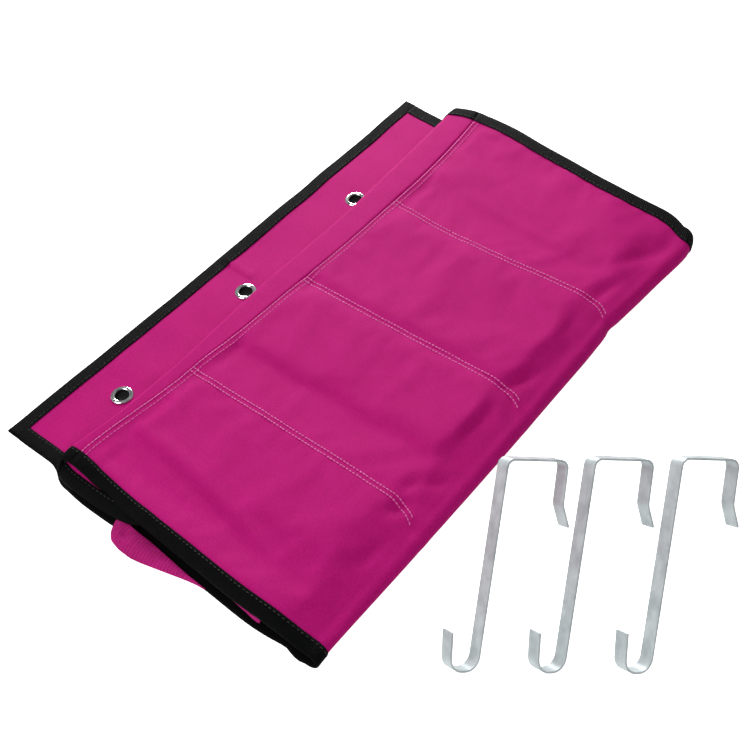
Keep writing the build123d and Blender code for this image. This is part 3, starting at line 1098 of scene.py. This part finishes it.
def pocket_row(num, mouth, bottom, base, facing):
    """Pleated strip of four pockets from x = mouth to x = bottom, and its elastic.

    base(x, y) is the face of the back cloth; facing is +1 when the pockets face up.
    """
    direction = 1.0 if bottom > mouth else -1.0
    length = abs(bottom - mouth)
    half = POCKET_FAR_Y[num] - POCKET_MID_Y - 0.8
    y_lo = -203.8 if num == 4 else POCKET_MID_Y - half
    y_hi = POCKET_MID_Y + half
    seams = [y_lo + i * (y_hi - y_lo) / 4 for i in range(5)]
    y_lines = grid_lines(y_lo, y_hi, 5.0, [(c, 4.0, 1.0) for c in seams[1:-1]]
                         + [(c + PLEAT, 1.6, 0.8) for c in seams[:-1]]
                         + [(c - PLEAT, 1.6, 0.8) for c in seams[1:]])
    depths = stations([0, 12, length - 14, length], [7, max(6, int(length / 7)), 10])
    depth, y = np.meshgrid(depths, y_lines, indexing="ij")
    x = mouth + direction * depth

    # height off the back cloth: puffed between the seams, stepped at the pleats, flat at the hem
    to_seam = np.min([np.abs(y - c) for c in seams], axis=0)
    height = 1.75 * rise(to_seam, 2.2, 7.0) - 0.35
    height = height + 0.75 * rise(to_seam, 14.2, 1.6) * fall(depth, length - 8, 12)
    height = height * (0.45 + 0.55 * fall(depth, length - 3, 18))
    height = height + 0.10 * mid_noise(x * 1.7 + 40 * num, y) * rise(to_seam, 5, 12)
    height = 0.75 + np.clip(height, 0.1, 2.0) * fall(depth, length - 5.0, 5.0)
    points = np.stack([x, y, base(x, y) + facing * height], -1)

    piece = Piece()
    shell(piece, points, POCKET_CLOTH)
    outward = upward(normals(points)) * facing
    face = points + outward * (POCKET_CLOTH / 2)
    for centre in seams[1:-1]:
        for off in (-1.4, 1.4):
            j = int(np.argmin(np.abs(y_lines - centre - off)))
            stitch(piece, face[2:-1, j], outward[2:-1, j], seed=70 + num, **POCKET_STITCH)
    stitch(piece, face[-3, 1:-1], outward[-3, 1:-1], seed=80 + num, **POCKET_STITCH)
    row = piece.build("pockets_%d" % num, [PINK_RIB if num in (3, 4) else PINK, THREAD])
    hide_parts("pocket_row_%d" % num)
    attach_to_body(row, "length_%d" % num)

    rings, uvs = [], []
    for j, line_y in enumerate(y_lines):
        if line_y < y_lo + 0.4 or line_y > y_hi - 0.4:
            continue
        ring = []
        for inset, off in MOUTH_SECTION:
            z = np.interp(max(inset, 0), depths, points[:, j, 2])
            ring.append((mouth + direction * inset, line_y, z + facing * off))
            uvs.append((line_y, inset + (UNDER_V if off < 0 else 0)))
        rings.append(ring)
    piece = Piece()
    sweep(piece, rings, uvs)
    elastic = piece.build("elastic_%d" % num, [ELASTIC])
    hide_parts("mouth_trim_%d" % num)
    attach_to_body(elastic, "length_%d" % num)


FACE = 0.5                       # from a layer's mid level to where its pockets start
pocket_row(1, 48.0, 262.0, lambda x, y: LEVEL_1 + FACE, facing=1)
pocket_row(2, 250.0, 44.0, lambda x, y: top_z(x, np.clip(y, -205, 250)) - FACE - 0.25, facing=-1)
pocket_row(3, 34.0, 130.0, lambda x, y: LEVEL_3 + FACE, facing=1)
pocket_row(4, 130.0, 42.0, lambda x, y: LEVEL_4 - FACE, facing=-1)


# ------------------------------------------------------------------ pocket cloth at the near side
def patch(name, body, x_range, grid, out_y, in_y, out_z, in_z, bulge, dent=None):
    """Sheet between an inner and an outer edge; the edges and bulge are curves of x."""
    share_x, share = np.meshgrid(np.linspace(0, 1, grid[0]), np.linspace(0, 1, grid[1]),
                                 indexing="ij")
    x = x_range[0] + (x_range[1] - x_range[0]) * share_x
    y = in_y(x) + (out_y(x) - in_y(x)) * share
    z = in_z(x) + (out_z(x) - in_z(x)) * share ** 1.2 + bulge(x) * np.sin(share * math.pi)
    if dent is not None:
        z = z + dent(x, share)
    piece = Piece()
    shell(piece, np.stack([x, y, np.maximum(z, 0.75)], -1), thickness=0.8)
    obj = piece.build(name, [PINK_RIB, THREAD])
    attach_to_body(obj, body)


def spill_dent(x, share):
    """One deep crease, a ridge and a shallow crease, all slanting outwards."""
    arch = np.sin(share * math.pi)
    crease = np.sin(np.clip(share * 1.1, 0, 1) * math.pi) * fall(share, 0.85, 0.5)
    return (-2.6 * gauss(x, 101.5 - 2.0 * share, 2.6) * crease
            + 0.5 * gauss(x, 118 + 10 * share, 4.0) * arch
            - 0.4 * gauss(x, 137 + 8 * share, 4.0) * arch)


patch("pocket_spill", "length_3", x_range=(84.5, 178.0), grid=(60, 20),
      out_y=curve([84.5, 88, 93, 100, 108, 115, 124, 133, 146, 159, 170, 178],
                  [-222, -232.5, -239.0, -241.6, -242.6, -242.6, -241.2, -239.0, -235.6, -232.2,
                   -230.0, -229.2]),
      in_y=curve([84.5, 89, 95, 104, 120, 145, 167, 178],
                 [-214.0, -216.5, -222.5, -225.0, -225.6, -227.6, -229.2, -229.4]),
      out_z=curve([84.5, 93, 115, 150, 178], [4.2, 2.2, 1.4, 1.4, 2.4]),
      in_z=curve([84.5, 96, 104, 145, 178], [9.0, 6.2, 6.0, 5.2, 3.6]),
      bulge=curve([84.5, 96, 118, 150, 178], [0.4, 2.4, 2.0, 1.2, 0.2]),
      dent=spill_dent)
patch("pocket_sliver", "length_2", x_range=(192.5, 227.6), grid=(30, 8),
      out_y=curve([191, 200, 214, 224, 229], [-223.4, -224.8, -226.2, -227.2, -226.6]),
      in_y=curve([191, 200, 220, 229], [-222.8, -220.0, -221.0, -226.0]),
      out_z=curve([191, 229], [5.6, 4.9]),
      in_z=curve([191, 229], [8.2, 7.2]),
      bulge=curve([191, 210, 229], [0.3, 0.9, 0.3]))


# ------------------------------------------------------------------ metal
def finish_metal(obj, mat, edge_width):
    obj.data.materials.clear()
    obj.data.materials.append(mat)
    bevel = obj.modifiers.new("edge", "BEVEL")
    bevel.width = edge_width
    bevel.segments = 2
    bevel.limit_method = "ANGLE"
    bevel.angle_limit = math.radians(35)


for node_name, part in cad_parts.items():
    if node_name.startswith(("eyelet", "washer")):
        finish_metal(part, CHROME, edge_width=0.00012)
    elif node_name.startswith("hook"):
        finish_metal(part, ZINC, edge_width=0.00035)

# ------------------------------------------------------------------ floor (metres from here on)
FLOOR_HALF = 6.0
FLOOR_Z = -0.0002
PALE = (0.93, 0.93, 0.93, 1)
# painted shade: near-black colour painted on the floor inside the eyelet holes, and the radius of
# those discs
PAINTED_SHADE = (0.015, 0.015, 0.016, 1)
PAINTED_SHADE_RADIUS = 0.0070


def floor_material():
    """Plain white, with painted shade: dark discs painted on the floor inside the three eyelets.
    """
    mat, g, bsdf = new_material("floor_pale")
    g.put(bsdf, {"Base Color": PALE, "Roughness": 0.85, "Specular IOR Level": 0.1,
                 "Emission Color": (1, 1, 1, 1)})
    place = g.node("ShaderNodeTexCoord").outputs["Object"]
    outside_painted_shade = None
    for eyelet_y in EYELET_Y:
        distance = g.node("ShaderNodeVectorMath", operation="DISTANCE")
        g.put(distance, {0: place, 1: (0.0, eyelet_y * MM, FLOOR_Z)})
        outside = g.math("GREATER_THAN", distance.outputs["Value"], PAINTED_SHADE_RADIUS)
        outside_painted_shade = outside if outside_painted_shade is None else g.math("MULTIPLY", outside_painted_shade, outside)
    seen = g.node("ShaderNodeLightPath").outputs["Is Camera Ray"]
    glow = g.scaled(seen, gain=0.80, offset=0.20)
    # inside the discs the floor takes the painted shade colour and does not glow
    g.put(bsdf, {"Base Color": g.mix(outside_painted_shade, PAINTED_SHADE, PALE),
                 "Emission Strength": g.math("MULTIPLY", glow, outside_painted_shade)})
    return mat


floor_mesh = bpy.data.meshes.new("floor")
floor_mesh.from_pydata([(x * FLOOR_HALF, y * FLOOR_HALF, FLOOR_Z)
                        for x, y in ((-1, -1), (1, -1), (1, 1), (-1, 1))], [], [(0, 1, 2, 3)])
floor = link_object("floor", floor_mesh)
floor_mesh.materials.append(floor_material())


# ------------------------------------------------------------------ world, lights, camera
def studio_world():
    """White to the camera; soft grey and white patches for the lighting."""
    world = bpy.data.worlds.new("studio")
    bpy.context.scene.world = world
    world.use_nodes = True
    g = Graph(world.node_tree)
    output = g.node("ShaderNodeOutputWorld")
    mix = g.node("ShaderNodeMixShader")
    seen = g.node("ShaderNodeLightPath").outputs["Is Camera Ray"]
    backdrop = g.node("ShaderNodeBackground")
    lighting = g.node("ShaderNodeBackground")
    g.put(backdrop, {"Color": (1, 1, 1, 1), "Strength": 1.0})
    direction = g.node("ShaderNodeTexCoord").outputs["Generated"]
    patches = g.noise(direction, scale=2.2, detail=1.0)
    colour = g.ramp(patches, [(0.42, (0.10, 0.10, 0.105, 1)), (0.60, (1.0, 1.0, 1.0, 1))])
    g.put(lighting, {"Color": colour, "Strength": 0.55})
    g.put(mix, {0: seen, 1: lighting.outputs[0], 2: backdrop.outputs[0]})
    g.put(output, {0: mix.outputs[0]})


def area_light(name, place, target, size, energy):
    light = bpy.data.lights.new(name, "AREA")
    light.shape = "SQUARE"
    light.size = size
    light.energy = energy
    obj = link_object(name, light)
    obj.location = place
    aim = Vector(target) - Vector(place)
    obj.rotation_mode = "QUATERNION"
    obj.rotation_quaternion = aim.to_track_quat("-Z", "Y")


studio_world()
area_light("key", place=(-0.95, 1.05, 0.62), target=(0.12, 0.0, 0.0), size=0.40, energy=26.5)
area_light("top", place=(-0.35, -0.95, 1.25), target=(0.12, -0.05, 0.0), size=0.9, energy=9.5)
area_light("fill", place=(1.0, -1.5, 0.8), target=(0.30, -0.08, 0.03), size=0.9, energy=5.0)

# camera place and its directions in the scene
CAMERA_PLACE = Vector((0.63686, -0.51431, 0.78743))
CAMERA_RIGHT = Vector((0.7674732794651327, 0.6373931484650343, -0.0686639614125577))
CAMERA_UP = Vector((-0.4412807880575394, 0.60293656876014, 0.6646343055719182))
CAMERA_VIEW = Vector((-0.46503336589792277, 0.4797889831390252, -0.7440070565929257))
camera_data = bpy.data.cameras.new("camera")
camera = link_object("camera", camera_data)
turn = Matrix((CAMERA_RIGHT, CAMERA_UP, -CAMERA_VIEW)).transposed()
camera.matrix_world = Matrix.Translation(CAMERA_PLACE) @ turn.to_4x4()
camera_data.sensor_width = 36.0
camera_data.lens = 65.3136
camera_data.clip_start = 0.01
bpy.context.scene.camera = camera
bpy.context.scene.view_settings.view_transform = "Standard"
